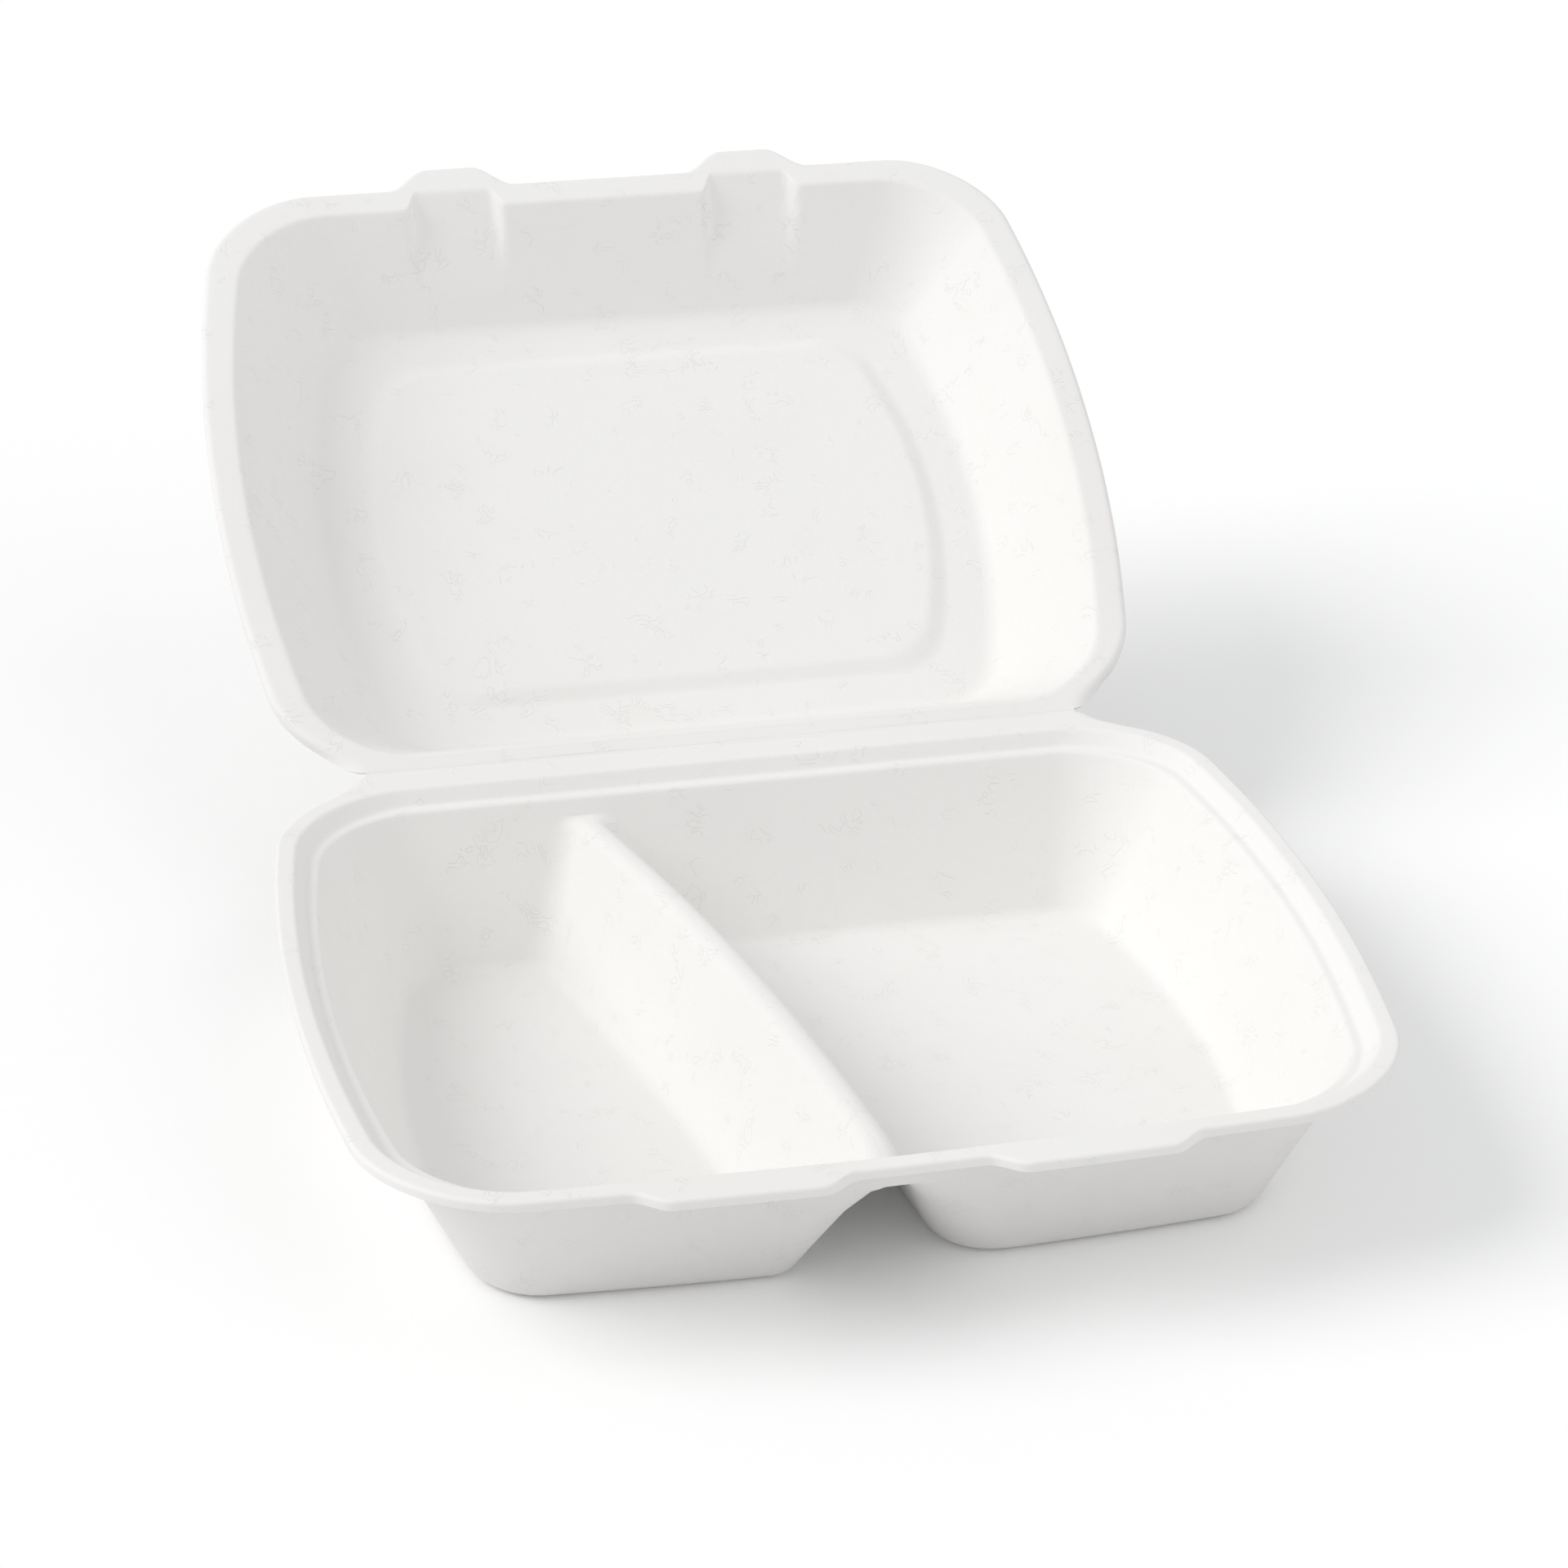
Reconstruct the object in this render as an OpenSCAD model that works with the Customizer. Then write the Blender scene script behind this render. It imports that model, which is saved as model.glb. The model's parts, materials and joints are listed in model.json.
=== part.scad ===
// Two-compartment clamshell food container, moulded from sugarcane fibre.
// X runs across the front, +Y points to the hinge, +Z is up. The tray stands on its two feet.
// It is modelled with the lid lying back open.

/* [Tray] */
// Width of the tray over its rim, at the middle of the bowed sides
tray_w = 242; // [226:1:256]
// Depth of the tray over its rim, lips and hinge web left out
tray_d = 193; // [180:1:206]
// Height of the tray's rim above the table
tray_h = 42; // [36:0.5:50]
// Outward bow of each side edge of the tray at its middle
tray_side_bow = 10; // [6:0.5:12]
// Outward bow of the tray's front edge at its middle
tray_front_bow = 4; // [1:0.5:6]
// Radius of the tray rim's corners
tray_rim_r = 28; // [25:0.5:32]
// Radius of the floor's corners
tray_floor_r = 10; // [8:0.5:14]
// Distance from the rim's outer edge to the floor's edge
tray_wall_run = 25; // [23:0.5:27]
// Radius of the bend between wall and floor, inside
tray_foot_r = 3.5; // [3:0.5:5]
// Depth below the ledge at which the wall's straight slope starts
wall_lead = 1.5; // [1:0.1:2.5]
// Thickness of the tray's fibre sheet
tray_t = 1; // [0.9:0.05:1.2]

/* [Tray rim] */
// Radius of the rim's rounded outer edge
rim_edge_r = 1.6; // [1.3:0.1:2]
// How far the rim's outer edge turns down
rim_turn = 3.4; // [2.8:0.1:4]
// Distance from the outer edge to the inner side of the lip on which the lid rests
lip_run = 3.4; // [3:0.1:4]
// Distance from the outer edge to the foot of the slope inside the lip
slope_run = 6.8; // [6:0.1:7.5]
// Distance from the outer edge to the inner side of the ledge
ledge_run = 9.2; // [8.6:0.1:10]
// Height of the lip above the ledge
ledge_drop = 3.8; // [3:0.1:4.2]

/* [Closing lips of the tray] */
// Distance from the middle to each lip's middle
catch_x = 38; // [36:0.5:42]
// Length of each lip's straight edge
catch_flat = 32; // [28:0.5:36]
// Length of each lip where it leaves the rim
catch_root = 49; // [44:0.5:52]
// How far each lip stands out from the rim
catch_out = 4.5; // [2:0.25:6]

/* [Divider] */
// Place of the divider's crest on the hinge side, from the middle
divider_back_x = -42.5; // [-46:0.5:-38]
// Place of the divider's crest on the front side, from the middle
divider_front_x = -3; // [-6:0.5:1]
// Sideways bow of the divider at its middle
divider_bow = 5; // [2:0.5:6]
// Height of the rim above the divider's crest
divider_drop = 8.5; // [7:0.25:9.5]
// Half width of the crest's flat top
crest_half = 1.2; // [0.8:0.1:2]
// Radius along the crest's two edges
crest_r = 2.8; // [2.2:0.1:3.4]
// Draft of the divider's flanks from upright, in degrees
flank_draft = 24; // [20:0.5:25]
// Radius of the bend between the divider's flanks and the floor, inside
divider_foot_r = 4; // [3:0.5:5]
// Radius of the upright bends between the divider and the tray's walls, inside
divider_end_r = 5; // [4:0.5:6]

/* [Hinge] */
// Distance from the tray rim's edge to the crease
crease_tray = 4.8; // [3.5:0.1:6]
// Distance from the crease to the lid rim's edge
crease_lid = 3; // [2:0.1:4]
// Length of the crease from end to end
crease_w = 188.5; // [184:0.5:194]
// Length over which the web's ends run out into the rims
web_run_out = 8; // [6:0.5:10]
// Thickness of the pressed web beside the crease
web_t = 0.6; // [0.5:0.05:0.7]
// Clearance of the web's two ends from the crease line, and of the rims below it
crease_gap = 0.2; // [0.15:0.01:0.3]
// Angle of the lid above the flat-open position, in degrees
lid_angle = 28; // [0:1:60]

/* [Lid] */
// Width of the lid over its rim, at the middle of the bowed sides
lid_w = 234; // [220:1:246]
// Depth of the lid over its rim, tabs and hinge web left out
lid_d = 189; // [176:1:200]
// Depth of the lid from its rim to the inside of its panel
lid_h = 26.4; // [20:0.2:32]
// Outward bow of each side edge of the lid at its middle
lid_side_bow = 11.5; // [6:0.5:13]
// Radius of the lid rim's corners
lid_rim_r = 25.6; // [24:0.2:30]
// Radius of the panel's corners
lid_panel_r = 10; // [7:0.5:13]
// Width of the lid's rim
lid_rim_w = 8; // [7:0.1:9]
// Distance from the rim's edge to the panel's edge at the two sides
lid_side_run = 28.3; // [25:0.1:30]
// Distance from the rim's edge to the panel's edge at the tabs
lid_front_run = 30; // [27:0.1:32]
// Distance from the rim's edge to the panel's edge at the hinge
lid_hinge_run = 21; // [18:0.1:24]
// Width of the border between the panel's edge and its raised middle
border_w = 11.5; // [8:0.5:14]
// Height of the raised middle above the border
step_h = 1.8; // [1:0.1:2.4]
// Run of the soft slope between them
step_run = 4; // [3:0.5:6]
// Size of the bend between the lid's wall and its panel
lid_foot = 2.6; // [2:0.1:3.5]
// Thickness of the lid's fibre sheet
lid_t = 0.6; // [0.5:0.05:0.8]

/* [Closing tabs of the lid] */
// Distance from the middle to each tab's middle
tab_x = 41; // [38:0.5:44]
// Length of each tab's straight edge
tab_flat = 12.5; // [9:0.5:15]
// Length of each tab where it leaves the rim
tab_root = 34.5; // [30:0.5:38]
// How far each tab stands out from the rim
tab_out = 7; // [5:0.25:8]
// Depth of the pocket moulded behind each tab, down to its shelf
pocket_h = 10.5; // [8:0.25:12]
// Width of the shelf at the pocket's foot
pocket_shelf = 2.2; // [1:0.1:3]
// How far each pocket reaches out behind its tab
pocket_out = 6; // [4:0.25:7]
// Length of each pocket's straight wall
pocket_flat = 20; // [17:0.5:22]
// Length of each pocket where it leaves the lid's wall
pocket_root = 27; // [25:0.5:30]

/* [Smoothness] */
// Steps round each front corner
corner_steps = 8; // [6:1:10]
// Steps round each hinge corner
hinge_corner_steps = 10; // [8:1:12]
// Steps along each bowed side
side_steps = 6; // [4:1:8]
// Steps along each half of the tray's back edge
back_steps = 4; // [3:1:6]
// Steps along each slope of a lip or tab
ramp_steps = 4; // [3:1:6]
// Steps round the bend between wall and floor
bend_steps = 3; // [2:1:5]
// Steps along the divider
divider_steps = 8; // [6:1:12]
// Steps round the upright bends at the divider's ends
end_steps = 4; // [3:1:6]

/* [Hidden] */
fibre = [0.95, 0.94, 0.92];
// Share of a rounding that its 45 degree point lies in from each tangent line
diagonal = 1 - sqrt(0.5);
// Width of the flat margin that follows the last bend of a profile
flat_margin = 1.5;
// Height over which a pocket's shelf runs out into the lid's wall
shelf_round = 1;

// Height of the crease line, which lies a gap above both rims
crease_z = tray_h + crease_gap;
crease_y = tray_d / 2 + crease_tray;

function lerp(a, b, t) = a + (b - a) * t;
function clamp01(t) = max(0, min(1, t));
function ease(t) = let (u = clamp01(t)) u * u * (3 - 2 * u);

// Bump of height 1 that is flat over one length and runs out smoothly to another
function bump(x, middle, flat, root) = ease((root / 2 - abs(x - middle)) / ((root - flat) / 2));
// Two such bumps, one on each side of the middle
function bumps(x, middle, flat, root) = bump(abs(x), middle, flat, root);

// Places along half of a front edge that catch each bend of a bump
function bump_places(middle, flat, root) = concat(
    [for (i = [0 : ramp_steps]) middle - lerp(root, flat, i / ramp_steps) / 2],
    [middle],
    [for (i = [0 : ramp_steps]) middle + lerp(flat, root, i / ramp_steps) / 2]);

// A station of a rim is a share of the straight edge across, one along, and an angle.
// Stations run round the rim from the front's left end, seen from above.
function arc_stations(fx, fy, start, steps) =
    [for (i = [0 : steps]) [fx, fy, start + 90 * i / steps]];
function side_stations(fx, angle) =
    [for (i = [1 : side_steps - 1]) [fx, fx * (2 * i / side_steps - 1), angle]];
function mirrored(places) = concat([for (i = [len(places) - 1 : -1 : 0]) -places[i]], [0], places);
function rim_stations(half_edge, places) = concat(
    [for (x = mirrored(places)) [x / half_edge, -1, -90]],
    arc_stations(1, -1, -90, corner_steps),
    side_stations(1, 0),
    arc_stations(1, 1, 0, hinge_corner_steps),
    [for (i = [1 : side_steps - 1]) [1 - 2 * i / side_steps, 1, 90]],
    arc_stations(-1, 1, 90, hinge_corner_steps),
    side_stations(-1, 180),
    arc_stations(-1, -1, 180, corner_steps));

// Point of a rounded, bowed rectangle. half_w, front and back reach to its corners' level,
// so the bows come on top of them.
function rim_point(s, half_w, front, back, r, side_bow, front_bow) =
    let (mid = (back - front) / 2,
         half_d = (back + front) / 2,
         x = s[0] * (half_w - r) + r * cos(s[2]),
         y = mid + s[1] * (half_d - r) + r * sin(s[2]))
    [x * (1 + side_bow / half_w * (1 - pow((y - mid) / half_d, 2))),
     y < 0 ? y * (1 + front_bow / front * (1 - pow(x / half_w, 2))) : y];

// Profiles are lists of [run in from the rim's edge, height]. The sheet lies to the right of
// the profile's direction, and this gives the other face of a sheet of thickness t.
function unit(v) = v / norm(v);
function right_of(a, b) = let (u = unit(b - a)) [u[1], -u[0]];
function offset_profile(p, t) = [for (i = [0 : len(p) - 1])
    let (before = i > 0 ? right_of(p[i - 1], p[i]) : right_of(p[0], p[1]),
         after = i < len(p) - 1 ? right_of(p[i], p[i + 1]) : before)
    p[i] + (before + after) * t / (1 + before * after)];

// The skin of a solid is a list of triangles, each of three points. A strip joins two rows of
// points, a fan joins a closed row to its middle, and flipped() turns their faces round.
function strip(a, b) = [for (k = [0 : len(a) - 2])
    each [[a[k], b[k], a[k + 1]], [a[k + 1], b[k], b[k + 1]]]];
function closed(row) = concat(row, [row[0]]);
function band(a, b) = strip(closed(a), closed(b));
function bands(rings) = [for (j = [0 : len(rings) - 2]) each band(rings[j], rings[j + 1])];
function middle(row) = [for (i = [0 : 2])
    (min([for (p = row) p[i]]) + max([for (p = row) p[i]])) / 2];
function fan(row) = let (c = middle(row), r = closed(row))
    [for (k = [0 : len(row) - 1]) [r[k + 1], r[k], c]];
function flipped(skin) = [for (t = skin) [t[2], t[1], t[0]]];
function reversed(row) = [for (i = [len(row) - 1 : -1 : 0]) row[i]];
function last(row) = row[len(row) - 1];

module from_skin(skin) {
    polyhedron([for (t = skin) each t], [for (k = [0 : len(skin) - 1]) [3 * k, 3 * k + 1, 3 * k + 2]],
        convexity = 8);
}

// Tray. Its rim is one ring, and inside the ledge the sheet dips into two wells with the
// divider between them. Profile points up to the ledge belong to the rim, the rest to a well.
lip_index = 4;
ledge_index = 6;
shelf_index = 7;
crest_z = tray_h - divider_drop;
ledge_z = tray_h - ledge_drop;
tray_half_w = tray_w / 2 - tray_side_bow;
tray_front = tray_d / 2 - tray_front_bow;
tray_back = tray_d / 2;

// Bend of radius r between the floor and a flank that slopes at a draft and would reach the floor
// at run. A flat margin follows it.
function floor_bend(run, r, draft) = let (centre = [run + r * tan((90 - draft) / 2), tray_t + r])
    concat([for (i = [0 : bend_steps]) let (a = 180 + draft + (90 - draft) * i / bend_steps)
                centre + r * [cos(a), sin(a)]],
           [[centre[0] + flat_margin, tray_t]]);

// Section through the rim and the outer wall, as runs in from the rim's edge and heights
wall_draft = atan((tray_wall_run - ledge_run) / (ledge_z - tray_t));
wall_profile = concat(
    [[0, tray_h - rim_turn],
     [0, tray_h - rim_edge_r],
     [rim_edge_r * diagonal, tray_h - rim_edge_r * diagonal],
     [rim_edge_r, tray_h],
     [lip_run, tray_h],
     [slope_run, ledge_z],
     [ledge_run, ledge_z],
     [ledge_run + wall_lead * tan(wall_draft), ledge_z - wall_lead]],
    floor_bend(tray_wall_run, tray_foot_r, wall_draft));

// Section through half of the divider, as distances from its middle and heights, whose points
// pair with those of the wall from the ledge inwards
crest_centre = [crest_half, crest_z - crest_r];
crest_turn = 90 - flank_draft;
flank_top = crest_centre + crest_r * [sin(crest_turn), cos(crest_turn)];
flank_foot = flank_top[0] + (flank_top[1] - tray_t) * tan(flank_draft);
divider_profile = concat(
    [[0, crest_z],
     crest_centre + crest_r * [sin(crest_turn / 2), cos(crest_turn / 2)],
     flank_top],
    floor_bend(flank_foot, divider_foot_r, flank_draft));

// Crest line of the divider, seen from above
function divider_x(y) = lerp(divider_front_x, divider_back_x, (y + tray_d / 2) / tray_d)
    + divider_bow * (1 - pow(2 * y / tray_d, 2));
// Its distances are measured square to it, so across the tray they are longer by this share
divider_skew = norm([1, (divider_back_x - divider_front_x) / tray_d]);
function flank_x(w, y, half) = divider_x(y) + w * half * divider_skew;

function tray_r(run) = lerp(tray_rim_r, tray_floor_r, clamp01(run / tray_wall_run));
function bow_front(x, run) = let (front = tray_front - run)
    -front * (1 + tray_front_bow / front * (1 - pow(x / (tray_half_w - run), 2)));

// Where the flank of side w (-1 left, 1 right) would meet the front wall and the back wall
function front_corner(w, run, half) = let (x = flank_x(w, run - tray_d / 2, half)) [x, bow_front(x, run)];
function back_corner(w, run, half) = let (y = tray_back - run) [flank_x(w, y, half), y];

// Where one side's outer wall ends at the front and at the back, short of the upright bends.
// grow widens those bends, for the sheet's outer face.
function wall_ends(w, run, half, grow) =
    [for (corner = [front_corner(w, run, half), back_corner(w, run, half)])
        corner[0] + w * (divider_end_r + grow)];
// Half width of the divider at point i of the wall's profile
function flank_half(divider, i) = i == ledge_index ? crest_half : divider[i - ledge_index][0];

// Stations of one side's half of the rim, from the divider at the front to the divider at the
// back: the stretch that they lie in, and a share of it or an angle
front_x = divider_front_x + divider_end_r + crest_half;
front_end = tray_half_w - tray_rim_r;
half_stations = concat(
    [for (x = concat([front_x], bump_places(catch_x, catch_flat, catch_root)))
        ["front", (x - front_x) / (front_end - front_x)]],
    [for (i = [0 : corner_steps]) ["front corner", 90 * i / corner_steps - 90]],
    [for (i = [1 : side_steps - 1]) ["side", i / side_steps]],
    [for (i = [0 : hinge_corner_steps]) ["back corner", 90 * i / hinge_corner_steps]],
    [for (i = [1 : back_steps]) ["back", i / back_steps]]);

// Point of station s on side w at a run, where the half ring starts at front_w and ends at back_w
function half_point(s, w, run, front_w, back_w) =
    let (half_w = tray_half_w - run,
         front = tray_front - run,
         back = tray_back - run,
         r = tray_r(run),
         mid = (back - front) / 2,
         half_d = (back + front) / 2,
         k = s[0],
         f = s[1],
         xy = k == "front" ? [lerp(w * front_w, half_w - r, f), -front]
            : k == "front corner" ? [half_w - r + r * cos(f), r - front + r * sin(f)]
            : k == "side" ? [half_w, lerp(r - front, back - r, f)]
            : k == "back corner" ? [half_w - r + r * cos(f), back - r + r * sin(f)]
            : [lerp(half_w - r, w * back_w, f), back],
         x = xy[0] * (1 + tray_side_bow / half_w * (1 - pow((xy[1] - mid) / half_d, 2))))
    [w * x, xy[1] < 0 ? xy[1] + bow_front(x, run) + front : xy[1]];

// Share by which a rim's outer edge becomes the web, by its distance from the crease's middle
function web_share(x) = ease((crease_w / 2 + web_run_out / 2 - abs(x)) / web_run_out);

// Half ring of the rim for point i of the wall's profile; web_z is the height of the web's face
function rim_half(w, wall, i, web_z, grow) = [for (s = half_stations)
    let (run = wall[i][0],
         ends = wall_ends(w, wall[ledge_index][0], crest_half, grow),
         front_w = ends[0],
         back_w = ends[1],
         xy = half_point(s, w, run, front_w, back_w),
         lip = half_point(s, w, lip_run, front_w, back_w),
         edge = i < lip_index,
         catch = edge && s[0] == "front" ? bumps(xy[0], catch_x, catch_flat, catch_root) : 0,
         share = edge && (s[0] == "back" || s[0] == "back corner") ? web_share(lip[0]) : 0,
         web_y = lerp(crease_y - crease_gap, lip[1], i / lip_index))
    lerp([xy[0], xy[1] - catch_out * catch, wall[i][1]], [lip[0], web_y, web_z], share)];
function rim_ring(wall, i, web_z, grow) =
    concat(rim_half(1, wall, i, web_z, grow), reversed(rim_half(-1, wall, i, web_z, grow)));

// Bend from one row's end a round the corner q to b, without its ends
function bend(a, q, b) = [for (i = [1 : end_steps - 1]) let (t = i / end_steps)
    lerp(lerp(a, q, t), lerp(q, b, t), t)];

// Half of a well's ring along the outer wall, and the other half along the divider from back to front
function well_wall(w, wall, divider, i, grow) =
    let (run = wall[i][0],
         ends = wall_ends(w, run, flank_half(divider, i), grow))
    [for (s = half_stations) concat(half_point(s, w, run, ends[0], ends[1]), [wall[i][1]])];
function well_divider(w, wall, divider, i, grow) =
    let (run = wall[i][0],
         half = flank_half(divider, i),
         z = divider[i - ledge_index][1],
         r = divider_end_r + grow,
         ring = well_wall(w, wall, divider, i, grow),
         qf = front_corner(w, run, half),
         qb = back_corner(w, run, half),
         yf = qf[1] + r,
         yb = qb[1] - r,
         bf = [flank_x(w, yf, half), yf, z],
         bb = [flank_x(w, yb, half), yb, z])
    concat(bend(last(ring), [qb[0], qb[1], z], bb),
        [for (k = [0 : divider_steps])
            let (y = lerp(yb, yf, k / divider_steps))
            [flank_x(w, y, half), y, z]],
        bend(bf, [qf[0], qf[1], z], ring[0]));

// Skin of one face of the tray's sheet, seen from above
function tray_face(wall, divider, web_z, grow) =
    let (n = len(wall) - 1,
         rim = [for (i = [0 : ledge_index]) rim_ring(wall, i, web_z, grow)],
         wells = [for (w = [-1, 1]) [for (i = [ledge_index : n])
             let (ring = concat(
                 well_wall(w, wall, divider, i, grow),
                 well_divider(w, wall, divider, i, grow)))
             w > 0 ? ring : reversed(ring)]],
         crest = [for (w = [-1, 1])
             let (outer = well_wall(w, wall, divider, ledge_index, grow))
             concat([last(outer)], well_divider(w, wall, divider, ledge_index, grow), [outer[0]])])
    concat(bands(rim), strip(crest[0], crest[1]),
        bands(wells[0]), fan(last(wells[0])),
        bands(wells[1]), fan(last(wells[1])));

module tray_sheet() {
    wall_under = offset_profile(wall_profile, tray_t);
    divider_under = offset_profile(divider_profile, tray_t);
    edge = band(rim_ring(wall_under, 0, tray_h - web_t, tray_t), rim_ring(wall_profile, 0, tray_h, 0));
    from_skin(concat(
        tray_face(wall_profile, divider_profile, tray_h, 0),
        flipped(tray_face(wall_under, divider_under, tray_h - web_t, tray_t)),
        edge));
}

// Lid, made lying open with its inside up and its tabs to the front, before it is turned into place
lid_half_w = lid_w / 2 - lid_side_bow;
lid_edge = lid_half_w - lid_rim_r;
lid_stations = rim_stations(lid_edge, concat(
    [(tab_x - tab_root / 2) / 2],
    bump_places(tab_x, tab_flat, tab_root),
    [(tab_x + tab_root / 2 + lid_edge) / 2]));
hinge_v = crease_lid + lid_d / 2;

// Profile of the lid for a wall that ends at the given run
function lid_profile(run) = let (
    wall = run - lid_rim_w,
    top = -crease_gap,
    bottom = -crease_gap - lid_h)
    [[0, top - rim_turn],
     [0, top - rim_edge_r],
     [rim_edge_r * diagonal, top - rim_edge_r * diagonal],
     [rim_edge_r, top],
     [lid_rim_w - rim_edge_r, top],
     [lid_rim_w, top - rim_edge_r * diagonal],
     [lid_rim_w + rim_edge_r / 2, top - rim_edge_r],
     [lerp(lid_rim_w, run, pocket_h / lid_h), top - pocket_h],
     [lerp(lid_rim_w, run, (pocket_h + shelf_round) / lid_h), top - pocket_h - shelf_round],
     [run - wall * lid_foot / lid_h, bottom + lid_foot],
     [run, bottom + lid_foot * diagonal],
     [run + lid_foot, bottom],
     [run + border_w, bottom],
     [run + border_w + step_run, bottom + step_h],
     [run + border_w + step_run + flat_margin, bottom + step_h]];
// How far a tab pushes out the first of these points, which are the rim's outer edge, and how far
// its pocket pushes out the next, down to the shelf
function tab_push(x, i) =
    i < lip_index ? tab_out * bumps(x, tab_x, tab_flat, tab_root)
    : i < shelf_index ? pocket_out * bumps(x, tab_x, pocket_flat, pocket_root)
    : i == shelf_index ? pocket_shelf * bumps(x, tab_x, pocket_flat, pocket_root)
    : 0;

side_in = lid_profile(lid_side_run);
front_in = lid_profile(lid_front_run);
hinge_in = lid_profile(lid_hinge_run);
side_out = offset_profile(side_in, lid_t);
front_out = offset_profile(front_in, lid_t);
hinge_out = offset_profile(hinge_in, lid_t);

function lid_r(run) = lerp(lid_rim_r, lid_panel_r, clamp01(run / lid_side_run));
function lid_point(s, side, front, back) =
    rim_point(s, lid_half_w - side, lid_d / 2 - front, lid_d / 2 - back, lid_r(side), lid_side_bow, 0);
function lid_ring(side, front, back, i, web_z) = [for (s = lid_stations)
    let (xy = lid_point(s, side[i][0], front[i][0], back[i][0]),
         end = s[1] < 0 ? front : back,
         turn = pow(sin(s[2]), 2),
         z = lerp(side[i][1], end[i][1], turn),
         out = s[1] == -1 && s[2] == -90 ? tab_push(xy[0], i) : 0,
         lip = lid_point(s, lip_run, lip_run, lip_run),
         share = s[1] == 1 && s[2] > 0 && s[2] < 180 && i < lip_index ? web_share(lip[0]) : 0,
         web_y = lerp(hinge_v - crease_gap, lip[1], i / lip_index))
    lerp([xy[0], xy[1] - out, z], [lip[0], web_y, web_z], share)];
function lid_rings(side, front, back, web_z) =
    [for (i = [0 : len(side) - 1]) lid_ring(side, front, back, i, web_z)];

module lid_sheet() {
    inner = lid_rings(side_in, front_in, hinge_in, -crease_gap);
    outer = lid_rings(side_out, front_out, hinge_out, -crease_gap - web_t);
    from_skin(concat(
        bands(inner), fan(last(inner)),
        flipped(concat(bands(outer), fan(last(outer)))),
        band(outer[0], inner[0])));
}

// Reach of the whole part in Y, from which its middle is found
lid_outer = lid_ring(side_in, front_in, hinge_in, 0, 0);
lid_under = lid_rings(side_out, front_out, hinge_out, 0);
function opened_y(p) = crease_y + (hinge_v - p[1]) * cos(lid_angle) - p[2] * sin(lid_angle);
reach_back = max([for (ring = concat([lid_outer], lid_under)) each [for (p = ring) opened_y(p)]]);
reach_front = min([for (p = rim_ring(wall_profile, 0, tray_h, 0)) p[1]]);
middle_y = (reach_front + reach_back) / 2;

// The tray with its two wells
module base() {
    color(fibre)
        translate([0, -middle_y, 0])
            tray_sheet();
}

// The lid, turned open about the crease
module lid() {
    color(fibre)
        translate([0, crease_y - middle_y, crease_z])
            rotate([lid_angle, 0, 0])
                translate([0, hinge_v, 0])
                    rotate([0, 0, 180])
                        lid_sheet();
}

base();
lid();
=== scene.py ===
"""Moulded fibre clamshell container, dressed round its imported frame.

The real box is one pressed sheet of sugarcane fibre. It is shown here by three pieces: the tray's
sheet, the lid's sheet and the pressed crease that bends between them. Lengths in the classes are
in millimetres, as in the part's source, and become metres where a mesh is made.
"""

import json
import logging
import math
from dataclasses import dataclass
from enum import Enum
from typing import Any, Callable, Optional, Sequence, Union

import bpy
import numpy as np
from mathutils import Matrix, Vector


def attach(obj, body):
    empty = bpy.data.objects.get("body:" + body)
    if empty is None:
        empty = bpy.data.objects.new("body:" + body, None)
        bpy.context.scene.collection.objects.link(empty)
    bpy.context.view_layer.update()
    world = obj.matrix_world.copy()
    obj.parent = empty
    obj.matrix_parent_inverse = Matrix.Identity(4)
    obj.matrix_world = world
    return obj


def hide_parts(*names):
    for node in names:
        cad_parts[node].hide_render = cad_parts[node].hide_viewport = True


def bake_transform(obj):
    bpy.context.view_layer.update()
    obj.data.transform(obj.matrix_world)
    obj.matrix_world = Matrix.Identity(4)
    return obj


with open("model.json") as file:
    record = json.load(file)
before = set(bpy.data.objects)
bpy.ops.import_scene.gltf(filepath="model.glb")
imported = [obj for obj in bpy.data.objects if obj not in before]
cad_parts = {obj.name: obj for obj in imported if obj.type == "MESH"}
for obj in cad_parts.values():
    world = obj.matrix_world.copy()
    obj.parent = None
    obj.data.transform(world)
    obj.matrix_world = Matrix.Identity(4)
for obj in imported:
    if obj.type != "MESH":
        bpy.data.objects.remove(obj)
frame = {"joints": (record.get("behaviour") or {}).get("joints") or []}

LOG = logging.getLogger("container")
MM = 0.001
MERGE_DISTANCE = 0.000002
Rows = list[np.ndarray]
Colour = tuple[float, float, float]


def lerp(a: Any, b: Any, t: Any) -> Any:
    """Returns the value a share t of the way from a to b."""
    return a + (b - a) * t


def ease(t: Any) -> Any:
    """Returns t held between 0 and 1 and smoothed at both ends."""
    u = np.clip(t, 0, 1)
    return u * u * (3 - 2 * u)


def bumps(x: Any, middle: float, flat: float, root: float) -> Any:
    """Gives two bumps of height 1, one on each side of the middle of an edge.

    Args:
        x: place along the edge.
        middle: distance of each bump's middle from the edge's middle.
        flat: length over which a bump is level.
        root: length of a bump where it leaves the edge.

    Returns:
        The height at x.
    """
    return ease((root / 2 - np.abs(np.abs(x) - middle)) / ((root - flat) / 2))


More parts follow.
